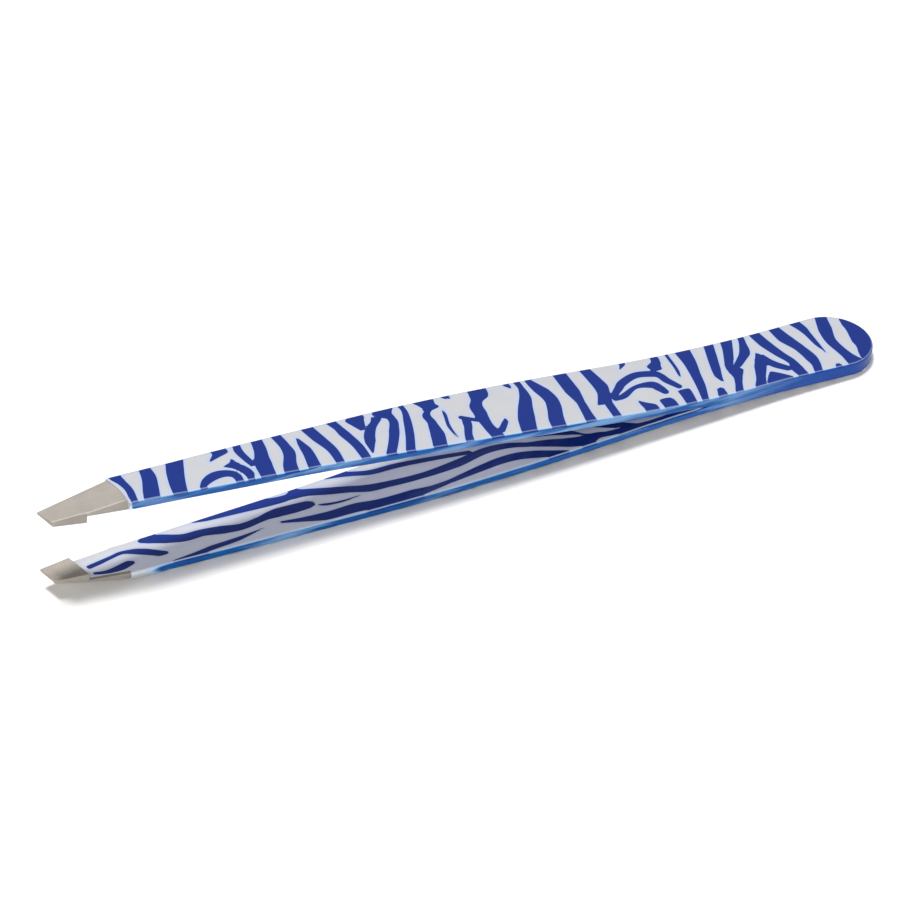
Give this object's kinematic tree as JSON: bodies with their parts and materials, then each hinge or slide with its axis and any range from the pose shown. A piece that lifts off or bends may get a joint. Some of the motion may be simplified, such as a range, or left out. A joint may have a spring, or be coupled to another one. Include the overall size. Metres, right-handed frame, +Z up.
{
  "type": "slant tweezers",
  "caption": "Slant-tip spring tweezers: bowed steel arms joined at a rounded head, with a zebra-striped enamel coat and bare ground slanted tips for gripping fine hair.",
  "frame": {"origin": "on the floor under the middle of the tweezers as they lie on the head and on the belly of the lower arm", "axes": "+Z up, +X towards the rounded head, -X towards the slanted tips, +Y towards the long side of the slant"},
  "size_m": [0.0952, 0.009, 0.0103],
  "materials": {
    "steel": "satin, ground tips",
    "weld": "cast weld metal, hidden",
    "enamel": "glossy off-white with royal blue zebra stripes, blue edges"
  },
  "bodies": {
    "head": {"upper_heel": "steel", "lower_heel": "steel", "rear_weld": "weld", "front_weld": "weld", "heel_coat": "enamel"},
    "upper_jaw": {"upper_arm": "steel", "upper_arm_coat": "enamel"},
    "lower_jaw": {"lower_arm": "steel", "lower_arm_coat": "enamel"}
  },
  "joints": [
    {"name": "upper_arm_spring", "type": "hinge", "parent": "head", "child": "upper_jaw", "pos_m": [0.0136, 0, 0.0035], "axis": [0, -1, 0], "range_deg": [0, 3.31], "stiffness_Nm_per_rad": 1.8},
    {"name": "lower_arm_spring", "type": "hinge", "parent": "head", "child": "lower_jaw", "pos_m": [0.01351, 0, 0.00169], "axis": [0, 1, 0], "range_deg": [0, 3.31], "stiffness_Nm_per_rad": 1.8}
  ]
}
